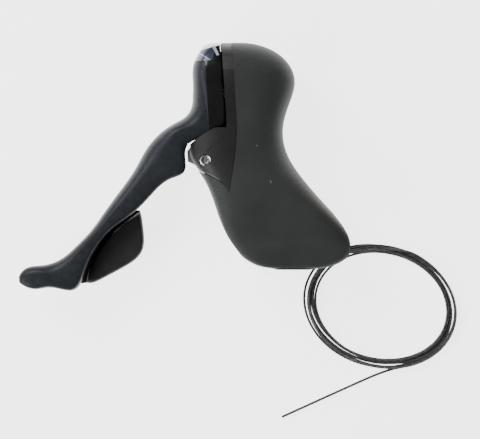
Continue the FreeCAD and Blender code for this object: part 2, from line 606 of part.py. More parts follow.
def paddle_wire(height, shrink):
    """The paddle's outline at a height, drawn in towards its middle."""
    edges = []
    for side in (PADDLE_SLIT, PADDLE_FREE):
        points = []
        for x, y in side:
            points.append(Vector(PADDLE_CENTRE[0] + (x - PADDLE_CENTRE[0]) * shrink,
                                 PADDLE_CENTRE[1] + (y - PADDLE_CENTRE[1]) * shrink, height))
        curve = Part.BSplineCurve()
        curve.interpolate(points)
        edges.append(curve.toShape())
    return Part.Wire(edges)


low, high = float(s.paddle_low), float(s.paddle_high)
levels = [(low, 0.78), (low + 1.2, 0.9), (low + 4.0, 0.965), (low + 9.0, 0.995), (high - 3.0, 0.995),
          (high - 0.9, 0.95), (high, 0.86)]
paddle_cap = free_form("paddle_cap", Part.makeLoft([paddle_wire(*level) for level in levels], True, False))
# A flange under the blade closes the slit and carries the rivet
FLANGE = [(-74.8, 10.6), (-77.2, 13.6), (-81.0, 14.2), (-86.4, 13.4), (-89.3, 8.0), (-94.8, -0.5), (-100.2, -9.5),
          (-102.4, -17.0), (-97.6, -19.0), (-92.0, -8.0), (-82.0, 4.0)]
flange = padded("paddle_flange", lambda k: outline(k, FLANGE), s.flange_high - s.flange_low,
                (0, 0, s.flange_low), "z")
boss_top = s.arm_low - s.plate_gap
boss = cylinder("paddle_boss", s.rivet_radius + s.rivet_wall, boss_top - s.flange_low,
                (s.rivet_x, s.rivet_y, s.flange_low))
paddle_bore = cylinder("paddle_rivet_bore", s.rivet_radius + s.running_gap, 30.0, (s.rivet_x, s.rivet_y, -24.0))
publish("release_paddle", minus("paddle_cut", plus("paddle_sum", paddle_cap, flange, boss), paddle_bore))
rivet_low = s.flange_low - s.plate_gap - s.rivet_head
rivet = turned("rivet_body", [
    (0, 0), (s.rivet_radius * 2, 0), (s.rivet_radius * 2, s.rivet_head), (s.rivet_radius, s.rivet_head),
    (s.rivet_radius, s.arm_high - rivet_low), (0, s.arm_high - rivet_low)],
    (s.rivet_x, s.rivet_y, rivet_low), "z")
publish("paddle_rivet", rivet)

# Winding unit behind the lever head
centre = s.shift_axis_y
bore = s.unit_shaft_radius + s.running_gap

publish("unit_shaft", cylinder("unit_shaft_rod", s.unit_shaft_radius, s.unit_shaft_end - s.unit_start,
                               (s.unit_start, centre, 0), "x"))


def take_up_outline(sketch):
    outline(sketch, [(-4.8, 0), (-2.6, 8.5), (-1.4, 10.8), (1.4, 10.8), (2.6, 8.5), (4.8, 0), (3.8, -4.2),
                     (0, -5.6), (-3.8, -4.2)])


take_up = padded("take_up_plate", take_up_outline, s.take_up_wall, (s.unit_start + 0.2, centre, 0), "x")
take_up_bore = cylinder("take_up_bore", bore, 10.0, (s.unit_start - 3.0, centre, 0), "x")
publish("take_up_arm", minus("take_up_cut", take_up, take_up_bore))

wheel_x = s.unit_start + 0.2 + s.take_up_wall + s.unit_space


def wheel_outline(sketch):
    circle(sketch, s.wheel_root)
    circle(sketch, bore)


wheel = padded("ratchet_body", wheel_outline, s.wheel_wall, (wheel_x, centre, 0), "x")
tooth_sketch = sketch_in(wheel, "tooth_outline", "XY_Plane")
lean = math.radians(20.0)
corners = [(s.wheel_root - 0.6, -s.tooth_half), (s.wheel_tip, -s.tooth_half), (s.wheel_tip, s.tooth_half * 0.4),
           (s.wheel_root - 0.6, s.tooth_half)]
turned_corners = [(a * math.cos(lean) - b * math.sin(lean), a * math.sin(lean) + b * math.cos(lean))
                  for a, b in corners]
outline(tooth_sketch, turned_corners)
tooth = wheel.newObject("PartDesign::Pad", "tooth_pad")
tooth.Profile = tooth_sketch
bind(tooth, Length=s.wheel_wall)
doc.recompute()
teeth = wheel.newObject("PartDesign::PolarPattern", "teeth")
teeth.Originals = [tooth]
teeth.Axis = (tooth_sketch, ["N_Axis"])
teeth.Angle = 360
bind(teeth, Occurrences=s.tooth_count)
wheel.Tip = teeth
publish("ratchet_wheel", wheel)

drum_x = wheel_x + s.wheel_wall + s.unit_space
edge = 1.4
drum = turned("drum_body", [
    (bore, 0), (s.drum_radius, 0), (s.drum_radius, edge), (s.drum_groove, edge + 0.9),
    (s.drum_groove, s.drum_wall - edge - 0.9), (s.drum_radius, s.drum_wall - edge),
    (s.drum_radius, s.drum_wall), (bore, s.drum_wall)], (drum_x, centre, 0), "x")
head_at = (drum_x + s.drum_wall - 2.4, centre + 5.6, 0)
publish("winding_drum", minus("drum_cut", drum, cylinder("cable_head_cut", 1.5, 6.0, head_at, "x")))
publish("cable_head", cylinder("cable_head_rod", 1.45, 2.3, head_at, "x"))

pin_z = -s.pawl_ring
publish("pawl_pin", cylinder("pawl_pin_rod", s.pawl_pin_radius, s.unit_bore_end + s.pawl_pin_seat - wheel_x,
                             (wheel_x, centre, pin_z), "x"))


def pawl_outline(sketch):
    reach = s.pawl_ring - s.pawl_reach
    half = s.pawl_half
    outline(sketch, [(0 - s.pawl_eye, -s.pawl_eye * 0.75), (1.0, -s.pawl_eye), (1.6, -half), (reach * 1.0, -half),
                     (reach * 1.0, half), (1.6, half), (1.0, s.pawl_eye), (0 - s.pawl_eye, s.pawl_eye * 0.75)])


pawl = padded("pawl_plate", pawl_outline, s.wheel_wall - 0.2, (wheel_x + s.wheel_wall - 0.1, centre, pin_z), "-x")
pawl_bore = cylinder("pawl_bore", s.pawl_pin_radius + s.running_gap, 12.0, (wheel_x - 3.0, centre, pin_z), "x")
publish("holding_pawl", minus("pawl_cut", pawl, pawl_bore))

coils = []
for k in range(4):
    coils.append(ring(f"unit_coil_{k + 1}", s.spring_radius, s.spring_wire,
                      (s.spring_start + s.spring_wire + s.spring_pitch * k, centre, 0), "x"))
publish("unit_return_spring", plus("unit_spring", *coils))


def nut_outline(sketch):
    flat = s.unit_nut_radius
    points = []
    for k in range(6):
        points.append((flat * math.cos(math.radians(60 * k + 15)), flat * math.sin(math.radians(60 * k + 15))))
    outline(sketch, points)


nut = padded("unit_nut_body", nut_outline, s.unit_nut_wall, (s.nut_start, centre, 0), "x")
nut_bore = cylinder("unit_nut_bore", s.unit_shaft_radius, 20.0, (s.nut_start - 5.0, centre, 0), "x")
publish("unit_nut", minus("unit_nut_cut", nut, nut_bore))

# Clamp, stops and small bracket parts
half_band = s.band_width / 2
band_outer = cylinder("band_outer", s.bar_radius + s.band_wall, s.band_width, (-half_band, 0, 0), "x")
band_bore = cylinder("band_bore", s.bar_radius, 60.0, (-30.0, 0, 0), "x")
band_half = block("band_half", (-30.0, 0.0, -30.0), (30.0, 30.0, 30.0))
strap = minus("band_strap", band_outer, band_bore, band_half)
leg_outer = block("band_leg_outer", (-half_band, 0.0, s.bar_radius),
                  (half_band, s.band_leg, s.bar_radius + s.band_wall))
leg_inner = block("band_leg_inner", (-half_band, 0.0, -s.bar_radius - s.band_wall),
                  (half_band, s.band_leg, -s.bar_radius))
publish("clamp_band", plus("band_sum", strap, leg_outer, leg_inner))

nut_low = (s.bolt_x - s.clamp_nut_width / 2, s.nut_y, s.bolt_z - s.clamp_nut_height / 2)
nut_high = (s.bolt_x + s.clamp_nut_width / 2, s.nut_y + s.clamp_nut_length, s.bolt_z + s.clamp_nut_height / 2)
nut_block = block("clamp_nut_block", nut_low, nut_high)
nut_thread = cylinder("clamp_nut_thread", s.clamp_bolt_radius, 30.0, (s.bolt_x, 0.0, s.bolt_z), "y")
publish("clamp_nut", minus("clamp_nut_cut", nut_block, nut_thread))

bolt_length = s.bolt_head_y - s.nut_y
bolt = turned("clamp_bolt_body", [
    (0, 0), (s.clamp_bolt_radius, 0), (s.clamp_bolt_radius, bolt_length + 0.1),
    (s.clamp_bolt_head_radius, bolt_length + 0.1),
    (s.clamp_bolt_head_radius, bolt_length + s.clamp_bolt_head - 0.4),
    (s.clamp_bolt_head_radius - 0.4, bolt_length + s.clamp_bolt_head), (0, bolt_length + s.clamp_bolt_head)],
    (s.bolt_x, s.nut_y, s.bolt_z), "y")
key = s.clamp_bolt_hex
socket = padded("bolt_socket", lambda k: outline(k, [
    (key * math.cos(math.radians(60 * n + 10)), key * math.sin(math.radians(60 * n + 10))) for n in range(6)]),
    6.0, (s.bolt_x, s.bolt_head_y + s.clamp_bolt_head - 2.4, s.bolt_z), "y")
publish("clamp_bolt", minus("clamp_bolt_cut", bolt, socket))

stop = turned("stop_body", [
    (0.9, 0), (s.stop_radius, 0), (s.stop_radius, s.stop_length), (2.4, s.stop_length), (2.4, 2.0), (0.9, 2.0)],
    (s.stop_x, s.stop_y, s.stop_z), "x")
publish("brake_cable_stop", stop)
outlet = turned("outlet_body", [
    (s.cable_radius + 0.15, 0), (s.outlet_radius, 0), (s.outlet_radius, s.outlet_length),
    (s.cable_radius + 0.15, s.outlet_length)], (s.outlet_x, s.seat_start + 3.0, s.outlet_z), "-y")
publish("cable_outlet", outlet)
publish("reach_pad", block("reach_pad_block", (s.clevis_back - 2.6, 46.0, -6.0), (s.clevis_back, 52.0, -0.8)))
set_screw = cylinder("set_screw_rod", 1.5, 6.0, (s.axle_x + s.axle_radius + 0.05, s.axle_y, 10.4), "x")
publish("axle_set_screw", set_screw)

# Loose shift cable: a lead out of the bracket, a coil lying on the table and a straight tail


def ellipse_prism(name, grow):
    """A flat solid over an ellipse that is wider than the coil's middle line by grow."""
    target = doc.addObject("Part::Ellipse", f"{name}_line")
    bind(target, MajorRadius=s.coil_half_length + grow, MinorRadius=s.coil_half_width + grow)
    place(target, (s.coil_x, s.coil_y, s.table_z))
    up = doc.addObject("Part::Extrusion", name)
    up.Base = target
    up.DirMode = "Custom"
    up.Dir = Vector(0, 0, 1)
    up.Solid = True
    return bind(up, LengthFwd=s.coil_height)


publish("shift_cable_coil", minus("coil_ring", ellipse_prism("coil_outer", s.coil_bundle / 2),
                                  ellipse_prism("coil_inner", -s.coil_bundle / 2)))


def tube(name, points, radius):
    """A round cord along straight runs joined by tangent arcs."""
    points = [Vector(*[float(c) for c in p]) for p in points]
    edges = []
    start = points[0]
    for a, b, c in zip(points, points[1:], points[2:]):
        into = (b - a).normalize()
        out = (c - b).normalize()
        turn = into.getAngle(out)
        bend = 0.45 * min((b - a).Length, (c - b).Length) / math.tan(turn / 2)
        back = bend * math.tan(turn / 2)
        begin, end = b - into * back, b + out * back
        middle_way = (out - into).normalize()
        rise = bend / math.cos(turn / 2) - bend
        print(f"{name}: bend radius {bend:.1f}")
        edges.append(Part.makeLine(start, begin))
        edges.append(Part.Arc(begin, b + middle_way * rise, end).toShape())
        start = end
    edges.append(Part.makeLine(start, points[-1]))
    path = Part.Wire(edges)
    ring_face = Part.Wire([Part.makeCircle(float(radius), points[0], points[1] - points[0])])
    return free_form(name, path.makePipeShell([ring_face], True, False))


mouth_y = s.seat_start + 3.0 - s.outlet_length
lead_points = [(s.outlet_x, mouth_y - 0.05, s.outlet_z), (s.outlet_x, mouth_y - 3.7, s.outlet_z + 0.7),
               (s.outlet_x + 4.2, -7.0, -11.0), (s.outlet_x + 11.7, -7.25, -10.85), (s.outlet_x + 20.7, -7.0, -11.0),
               (s.outlet_x + 29.2, -6.0, -13.0),
               (s.coil_x + 6.6, s.coil_y + s.coil_half_width, s.table_z + s.coil_height + s.cable_radius + 0.1)]
publish("shift_cable_lead", tube("lead_tube", lead_points, s.cable_radius))
tail_z = s.table_z + s.cable_radius
tail_points = [(s.coil_x + 14.6, s.coil_y - 29.4, tail_z), (s.coil_x + 2.4, s.coil_y - 31.5, tail_z),
               (s.tail_end_x, s.tail_end_y, tail_z)]
publish("shift_cable_tail", tube("tail_tube", tail_points, s.cable_radius))

doc.recompute()
os.makedirs("parts", exist_ok=True)
for node, target in pieces.items():
    if {"Invalid", "Error"} & set(target.State):
        raise ValueError(f"{node} did not build")
    shape = target.Shape
    if shape.isNull() or not shape.isValid() or len(shape.Solids) != 1:
        raise ValueError(f"{node} is not one valid solid: {len(shape.Solids)}")
    shape.exportStep(f"parts/{node}.step")
print(f"{len(pieces)} parts written")
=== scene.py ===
# %% [markdown]
# # A road brake and shift lever, dressed for its portrait
#
# The solids of the lever come from the CAD model. This lesson loads them as a fixed frame, lays the loose
# shift cable beside them, gives every surface a finish made of nodes, and sets up the light and the camera.
# All lengths are in metres, and +Z points at the camera.

# %% Load the solids
import json
import math
import bpy
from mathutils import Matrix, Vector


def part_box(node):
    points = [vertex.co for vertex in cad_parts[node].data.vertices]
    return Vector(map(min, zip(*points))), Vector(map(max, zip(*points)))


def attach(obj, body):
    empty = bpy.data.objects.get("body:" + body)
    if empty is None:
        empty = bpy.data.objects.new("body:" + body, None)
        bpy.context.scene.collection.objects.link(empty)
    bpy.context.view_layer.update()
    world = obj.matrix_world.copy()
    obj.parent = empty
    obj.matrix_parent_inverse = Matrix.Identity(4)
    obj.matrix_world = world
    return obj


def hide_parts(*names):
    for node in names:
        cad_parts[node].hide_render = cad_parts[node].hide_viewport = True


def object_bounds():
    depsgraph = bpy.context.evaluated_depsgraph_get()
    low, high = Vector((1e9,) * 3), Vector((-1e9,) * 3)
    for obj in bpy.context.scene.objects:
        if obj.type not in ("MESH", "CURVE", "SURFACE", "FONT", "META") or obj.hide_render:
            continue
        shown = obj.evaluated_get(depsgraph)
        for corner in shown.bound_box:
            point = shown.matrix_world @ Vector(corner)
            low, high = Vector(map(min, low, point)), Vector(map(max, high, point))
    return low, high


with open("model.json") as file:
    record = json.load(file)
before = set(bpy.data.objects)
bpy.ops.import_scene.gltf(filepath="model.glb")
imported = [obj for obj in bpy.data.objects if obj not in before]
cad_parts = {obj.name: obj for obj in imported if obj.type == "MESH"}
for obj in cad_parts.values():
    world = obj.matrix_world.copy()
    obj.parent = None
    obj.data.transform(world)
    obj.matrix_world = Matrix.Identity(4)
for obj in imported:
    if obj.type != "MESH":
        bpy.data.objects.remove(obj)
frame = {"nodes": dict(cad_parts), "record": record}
cad_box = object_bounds()
MM = 0.001
nodes = frame["nodes"]
print(f"{len(nodes)} solids, box {cad_box}")

# %% [markdown]
# ## Shader sums that read like Python
#
# A material is a graph of nodes. Typing each Math node by hand is slow to read, so a small class wraps an
# output socket and overloads the operators. `noise * 0.2 + 0.5` then adds its own Math nodes. A second class
# holds one material, and its `node` method makes any other node.


# %% Socket wrapper and finish builder
class Wire:
    """An output socket that can be added to, multiplied and so on."""

    def __init__(self, finish, socket):
        self.finish = finish
        self.socket = socket

    def sum(self, operation, first, second):
        settings = {"operation": operation}
        return self.finish.node("ShaderNodeMath", settings, {0: first, 1: second})

    def __add__(self, other):
        return self.sum("ADD", self, other)

    def __mul__(self, other):
        return self.sum("MULTIPLY", self, other)

    def __sub__(self, other):
        return self.sum("SUBTRACT", self, other)

    def __rsub__(self, other):
        return self.sum("SUBTRACT", other, self)

    def __abs__(self):
        return self.sum("ABSOLUTE", self, 0.0)

    def sine(self):
        return self.sum("SINE", self, 0.0)

    def clamp(self):
        return self.finish.node("ShaderNodeClamp", {}, {"Value": self})

    def step(self, low, high):
        """0 below low, 1 above high and a soft edge between."""
        inputs = {"Value": self, "From Min": low, "From Max": high}
        return self.finish.node("ShaderNodeMapRange", {"interpolation_type": "SMOOTHSTEP"}, inputs)


class Finish:
    """One material: a Principled shader whose sockets are fed by name."""

    def __init__(self, name, **sockets):
        self.material = bpy.data.materials.new(name)
        self.material.use_nodes = True
        self.tree = self.material.node_tree
        self.shader = self.tree.nodes["Principled BSDF"]
        self.place = self.node("ShaderNodeTexCoord", {}, {}, "Object")
        self.set(**sockets)
        print(f"finish {name}")

    def feed(self, socket, value):
        if isinstance(value, Wire):
            self.tree.links.new(value.socket, socket)
        elif socket.type == "RGBA" and len(value) == 3:
            socket.default_value = (*value, 1.0)
        else:
            socket.default_value = value

    def node(self, kind, settings, inputs, output=0):
        made = self.tree.nodes.new(kind)
        for key, value in settings.items():
            if key == "stops":
                ramp = made.color_ramp
                for k, (at, colour) in enumerate(value):
                    stop = ramp.elements[k] if k < 2 else ramp.elements.new(at)
                    stop.position = at
                    stop.color = (*colour, 1.0)
            else:
                setattr(made, key, value)
        for key, value in inputs.items():
            self.feed(made.inputs[key], value)
        return Wire(self, made.outputs[output])

    def set(self, **sockets):
        for key, value in sockets.items():
            self.feed(self.shader.inputs[key.replace("_", " ").title().replace("Ior", "IOR")], value)

    def noise(self, size, detail=3.0, roughness=0.55):
        inputs = {"Vector": self.place, "Scale": 1.0 / size, "Detail": detail, "Roughness": roughness}
        return self.node("ShaderNodeTexNoise", {}, inputs)

    def millimetres(self):
        """The x, y and z of the place that is shaded, in millimetres."""
        scaled = self.node("ShaderNodeVectorMath", {"operation": "SCALE"}, {0: self.place, "Scale": 1000.0})
        return [self.node("ShaderNodeSeparateXYZ", {}, {0: scaled}, axis) for axis in "XYZ"]

    def beside(self, start, end):
        """How far a place lies to the left of the line from start to end, seen from above, in millimetres."""
        x, y, _ = self.millimetres()
        run = (end[0] - start[0], end[1] - start[1])
        length = math.hypot(*run)
        offset = (run[1] * start[0] - run[0] * start[1]) / length
        return y * (run[0] / length) - x * (run[1] / length) + offset

    def stroke(self, start, end, half, soft):
        """1 along the line from start to end, fading out past half its width."""
        middle = ((start[0] + end[0]) / 2, (start[1] + end[1]) / 2)
        turned = (middle[0] - end[1] + start[1], middle[1] + end[0] - start[0])
        reach = math.dist(start, end) / 2
        across = 1 - abs(self.beside(start, end)).step(half, half + soft)
        along = 1 - abs(self.beside(middle, turned)).step(reach, reach + soft)
        return across * along

    def blend(self, amount, first, second):
        settings = {"data_type": "RGBA"}
        return self.node("ShaderNodeMix", settings, {0: amount, 6: first, 7: second}, 2)

    def ramp(self, value, *stops):
        return self.node("ShaderNodeValToRGB", {"stops": stops}, {"Fac": value})

    def bump(self, height, depth):
        inputs = {"Height": height, "Distance": depth, "Strength": 1.0}
        self.set(normal=self.node("ShaderNodeBump", {}, inputs))


finishes = {}


# %% [markdown]
# ## Camera, floor and light
#
# The photograph looks straight down at the lever's outer side. A long lens nearly two metres above the table
# gives that flat view. The picture is 480 pixels wide and shows about 2.1 pixels to the millimetre, so the width
# that the lens has to cover is known, and the distance follows from the lens.

# %% Camera
PICTURE = (480, 439)
PIXELS_PER_MM = 2.1
BAR_PIXEL = (292, 238)
VIEW_WIDTH = PICTURE[0] / PIXELS_PER_MM * MM
VIEW_LEVEL = 6 * MM
camera_data = bpy.data.cameras.new("camera")
camera_data.lens = 300
camera_data.sensor_width = 36
camera = bpy.data.objects.new("camera", camera_data)
bpy.context.scene.collection.objects.link(camera)
camera.location = ((PICTURE[0] / 2 - BAR_PIXEL[0]) / PIXELS_PER_MM * MM,
                   (BAR_PIXEL[1] - PICTURE[1] / 2) / PIXELS_PER_MM * MM,
                   VIEW_LEVEL + VIEW_WIDTH * camera_data.lens / camera_data.sensor_width)
bpy.context.scene.camera = camera
print(f"camera {camera.location[2]:.3f} m above the bar axis")


# %% Floor and lights
def deselect():
    if bpy.context.object and bpy.context.object.mode != "OBJECT":
        bpy.ops.object.mode_set(mode="OBJECT")
    bpy.ops.object.select_all(action="DESELECT")


FLOOR = cad_box[0][2]
FLOOR_GLOW = 3.2
deselect()
bpy.ops.mesh.primitive_plane_add(size=6, location=(0, 0, FLOOR - 0.1 * MM))
floor = bpy.context.object
floor.name = "floor"
floor_finish = Finish("floor", base_color=(0.95, 0.95, 0.95), roughness=0.9)
floor_finish.set(emission_color=(1.0, 1.0, 1.0), emission_strength=FLOOR_GLOW)
floor.data.materials.append(floor_finish.material)
print(f"floor {1000 * FLOOR:.1f} mm below the bar axis")

# %% Studio light
world = bpy.data.worlds.new("studio")
bpy.context.scene.world = world
world.use_nodes = True
world.node_tree.nodes["Background"].inputs["Color"].default_value = (1, 1, 1, 1)
world.node_tree.nodes["Background"].inputs["Strength"].default_value = 0.25


def soft_light(name, at, aim, size, power):
    data = bpy.data.lights.new(name, "AREA")
    data.shape = "DISK"
    data.size = size
    data.energy = power
    lamp = bpy.data.objects.new(name, data)
    bpy.context.scene.collection.objects.link(lamp)
    lamp.location = at
    way = [aim[k] - at[k] for k in range(3)]
    lamp.rotation_euler = (math.atan2(math.hypot(way[0], way[1]), -way[2]), 0, math.atan2(-way[0], way[1]))
    print(f"{name} of {power} W")


soft_light("top_light", (-0.72, 0.72, 0.85), (-0.03, 0.02, 0), 0.7, 13)
soft_light("left_light", (-0.8, -0.45, 0.55), (-0.05, 0.0, 0), 0.6, 7)

# %% [markdown]
# ## The loose shift cable
#
# A new lever comes with its inner cable pushed through: a stranded steel wire, 1.2 mm thick and a little over
# a metre and a half long, wound into a loose oval coil. It is one smooth NURBS curve. The points of the route
# are its control points: out of the bracket, along to the coil, round its turns and away along the tail.

# %% Cable route
LEAD = [(8.8, 0.25, -13.6), (8.8, -3.4, -12.9), (13.0, -7.0, -11.0), (20.5, -7.25, -10.85),
        (29.5, -7.0, -11.0), (38.0, -6.0, -13.0)]
TAIL = [(45.5, -63.8, -17.9), (24.0, -73.4, -17.9), (-4.6, -86.4, -17.9)]
COIL_CENTRE = (43.4, -32.7)
COIL_HALF = (34.3, 28.2)
COIL_TILT = 0.12
TURN_OFFSETS = (1.6, 2.5, -1.7, 0.8, -3.0, 2.9, -0.6, 1.2, 2.0, 2.0)
TURN_LEAN = (0, -0.8, -0.4, 1.0, 0.8, -0.8, -0.2, -1.8, -2.2, -1.2)
POINTS_PER_TURN = 18
START_ANGLE, END_ANGLE = math.radians(72), math.radians(-68 - 360 * 7)
TOP, BOTTOM = -14.6, -17.85


def coil_points():
    """Points round the turns, which differ in size, lean to one side and sink towards the table."""
    steps = round((START_ANGLE - END_ANGLE) / math.tau * POINTS_PER_TURN)
    points = []
    for k in range(steps + 1):
        share = k / steps
        angle = START_ANGLE + (END_ANGLE - START_ANGLE) * share
        turn = 1 - angle / math.tau
        low, part = int(turn), turn - int(turn)
        grow = TURN_OFFSETS[low] * (1 - part) + TURN_OFFSETS[low + 1] * part
        lean = TURN_LEAN[low] * (1 - part) + TURN_LEAN[low + 1] * part
        grow += lean * math.cos(angle - 0.3)
        points.append((COIL_CENTRE[0] + (COIL_HALF[0] + grow) * math.cos(angle),
                       COIL_CENTRE[1] + (COIL_HALF[1] + grow) * math.sin(angle - COIL_TILT),
                       TOP + (BOTTOM - TOP) * share))
    return points


route = LEAD + coil_points() + TAIL
cable_curve = bpy.data.curves.new("shift_cable", "CURVE")
cable_curve.dimensions = "3D"
cable_curve.bevel_depth = 0.6
cable_curve.bevel_resolution = 3
cable_curve.use_fill_caps = True
spline = cable_curve.splines.new("NURBS")
spline.points.add(len(route) - 1)
for point, (x, y, z) in zip(spline.points, route):
    point.co = (x * MM, y * MM, z * MM, 1)
    point.radius = MM
spline.order_u = 3
spline.use_endpoint_u = True
spline.resolution_u = 6
cable = bpy.data.objects.new("shift_cable", cable_curve)
bpy.context.scene.collection.objects.link(cable)
CABLE_LENGTH = spline.calc_length()
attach(cable, "bracket")
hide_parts("shift_cable_lead", "shift_cable_coil", "shift_cable_tail")
print(f"cable {CABLE_LENGTH:.3f} m long")

# %% [markdown]
# ## Dark plates as painted shade in the joints
#
# Two joints of this lever would let the table show through, so dark plates stand in them as painted shade. One is
# behind the lever head, where shade plates on the bracket stand in the gap, and a small dark lip fills the notch at
# the hood's top edge. The other is the slit beside the release paddle, closed at both ends by shade plates that
# move with the paddle. All are flat, so one function models them: a circle with as many corners as the plate, each
# corner moved to its place, then the face extruded to its thickness and the edges bevelled.


# %% Plate modelling
def plate_piece(name, corners, low, high, edge, body):
    """A bevelled plate between two heights over a ring of corners, all in millimetres."""
    deselect()
    bpy.ops.mesh.primitive_circle_add(vertices=len(corners), radius=MM, fill_type="NGON")
    plate = bpy.context.object
    plate.name = name
    starts = [vertex.co.copy() for vertex in plate.data.vertices]
    for k, (x, y) in enumerate(corners):
        bpy.ops.object.mode_set(mode="EDIT")
        bpy.ops.mesh.select_mode(type="VERT")
        bpy.ops.mesh.select_all(action="DESELECT")
        bpy.ops.object.mode_set(mode="OBJECT")
        plate.data.vertices[k].select = True
        bpy.ops.object.mode_set(mode="EDIT")
        bpy.ops.transform.translate(value=(x * MM - starts[k].x, y * MM - starts[k].y, low * MM))
    bpy.ops.mesh.select_all(action="SELECT")
    bpy.ops.mesh.extrude_region_move(TRANSFORM_OT_translate={"value": (0, 0, (high - low) * MM)})
    bpy.ops.mesh.select_all(action="SELECT")
    bpy.ops.mesh.normals_make_consistent(inside=False)
    bpy.ops.mesh.bevel(offset=edge * MM, segments=2, affect="EDGES")
    bpy.ops.object.mode_set(mode="OBJECT")
    bpy.ops.object.shade_smooth_by_angle(angle=math.radians(40))
    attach(plate, body)
    print(f"{name}: {len(plate.data.polygons)} faces on {body}")
    return plate


# %% Joint behind the lever head
JOINT_LEAN = -2.8 / 39.5


def joint_x(y):
    """The bracket's face in the joint, which leans forward towards the top."""
    return -31.2 + (y - 57.5) * JOINT_LEAN


def joint_shade_plate(name, foot, top, ahead, behind, low, high):
    """A dark plate of painted shade that follows the bracket's face, reaching ahead of it and behind it."""
    corners = [(joint_x(foot) - ahead, foot), (joint_x(foot) + behind, foot),
               (joint_x(top) + behind, top), (joint_x(top) - ahead, top)]
    return plate_piece(name, corners, low, high, 0.08, "bracket")


# Dark plates in the joint behind the lever head and in the hood's notch: painted shade where the table would show.
joint_shade_plates = [joint_shade_plate("joint_edge_shade", 52.9, 92.5, 0.48, 0.5, -2.0, 2.0),
                joint_shade_plate("joint_shade_top", 83.0, 89.0, 1.25, 1.6, 0.4, 1.4),
                joint_shade_plate("joint_shade_upper", 70.5, 83.4, 1.2, 0.9, 6.5, 7.5),
                joint_shade_plate("joint_shade_lower", 52.2, 72.5, 1.7, 0.4, -8.0, -7.0),
                plate_piece("hood_notch_shade", [(-29.4, 90.4), (-28.6, 90.4), (-28.6, 92.7), (-29.4, 92.6)],
                            -5.0, 5.0, 0.08, "bracket")]

# %% Ends of the paddle's slit
SLIT_LOW, SLIT_HIGH = -13.3, -9.8
# Dark plates at both ends of the paddle's slit: painted shade where the table would show.
slit_shade_plates = [
    plate_piece("slit_shade_top", [(-77.0, 11.0), (-73.0, 10.2), (-72.5, 12.8), (-73.9, 13.4), (-75.6, 13.0)],
                SLIT_LOW, SLIT_HIGH, 0.2, "release_lever"),
    plate_piece("slit_shade_low", [(-102.0, -16.8), (-97.0, -18.2), (-97.9, -21.6), (-101.1, -21.9)],
                SLIT_LOW, SLIT_HIGH, 0.2, "release_lever")]

# %% [markdown]
# ## Lever axle
#
# The axle's end faces the camera, so it is modelled again with a truly round rim. A cylinder gets its size, each
# end is inset and pushed in to leave a rim round a shallow recess, and a narrow bevel breaks the edges.

# %% Round-ended axle
AXLE = (-41.4, 37.1)
AXLE_RADIUS = 2.5
RECESS_DEPTH = 0.3
axle_low, axle_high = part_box("lever_axle")
deselect()
bpy.ops.mesh.primitive_cylinder_add(vertices=48, radius=AXLE_RADIUS * MM, depth=axle_high[2] - axle_low[2],
                                    location=(AXLE[0] * MM, AXLE[1] * MM, (axle_low[2] + axle_high[2]) / 2))
axle = bpy.context.object
axle.name = "round_axle"
bpy.ops.object.transform_apply(location=True, rotation=True, scale=True)
for end in (-1, 1):
    for face in axle.data.polygons:
        face.select = face.normal.z * end > 0.9
    bpy.ops.object.mode_set(mode="EDIT")
    bpy.ops.mesh.select_mode(type="FACE")
    bpy.ops.mesh.inset(thickness=0.25 * MM, depth=0)
    bpy.ops.mesh.inset(thickness=0.35 * MM, depth=0)
    bpy.ops.mesh.inset(thickness=0.12 * MM, depth=-RECESS_DEPTH * MM)
    bpy.ops.mesh.select_all(action="DESELECT")
    bpy.ops.object.mode_set(mode="OBJECT")
bevel = axle.modifiers.new("rim", "BEVEL")
bevel.width = 0.15 * MM
bevel.segments = 2
bpy.ops.object.modifier_apply(modifier="rim")
bpy.ops.object.shade_smooth_by_angle(angle=math.radians(40))
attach(axle, "bracket")
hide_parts("lever_axle")
print(f"axle {1000 * (axle_high[2] - axle_low[2]):.1f} mm long")

# %% [markdown]
# ## Finishes
#
# Each finish starts from the colour of the real surface and adds what makes it believable close up: grain,
# a little dust, uneven gloss, worn edges. The patterns are laid in Object space, so bump heights can be given
# as true lengths: a height in millimetres with a Bump distance of one millimetre.

# %% [markdown]
# ### Rubber of the hood
#
# Hood rubber is nearly black with a fine matt grain. Handling makes it a little browner along the palm, and
# lint sticks to it. A soft crease runs over the knob at the top, and is made by the bump alone.

# %% Rubber hood
rubber = Finish("hood_rubber", specular_ior_level=0.15)
outward = rubber.millimetres()[2]
cloud = rubber.noise(22 * MM, 2.0)
grain = rubber.noise(0.45 * MM, 2.0, 0.7)
dust = rubber.noise(1.1 * MM, 4.0, 0.8)
matt = rubber.ramp(cloud, (0.3, (0.0340, 0.0380, 0.0368)), (0.75, (0.0450, 0.0490, 0.0474)))
palm = rubber.stroke((5.0, 27.0), (26.0, 4.0), 1.0, 7.0)
matt = rubber.blend(palm * 0.6, matt, (0.034, 0.030, 0.025))
lint = rubber.stroke((-16.9, 44.0), (-16.4, 43.7), 0.15, 0.25)
lint = (lint + rubber.stroke((-10.4, 27.2), (-10.0, 26.2), 0.15, 0.25)) * outward.step(2.0, 4.0)
speck = ((dust - 0.72).clamp() * 4.0 + lint * 0.7).clamp()
rubber.set(base_color=rubber.blend(speck, matt, (0.20, 0.19, 0.17)))
rubber.set(roughness=cloud * 0.14 + grain * 0.12 + 0.40)
crease = rubber.stroke((-27.0, 81.6), (-12.0, 77.6), 0.2, 2.6) * 0.16
rubber.bump(grain * 0.03 + crease, MM)
finishes["hood_rubber"] = rubber.material
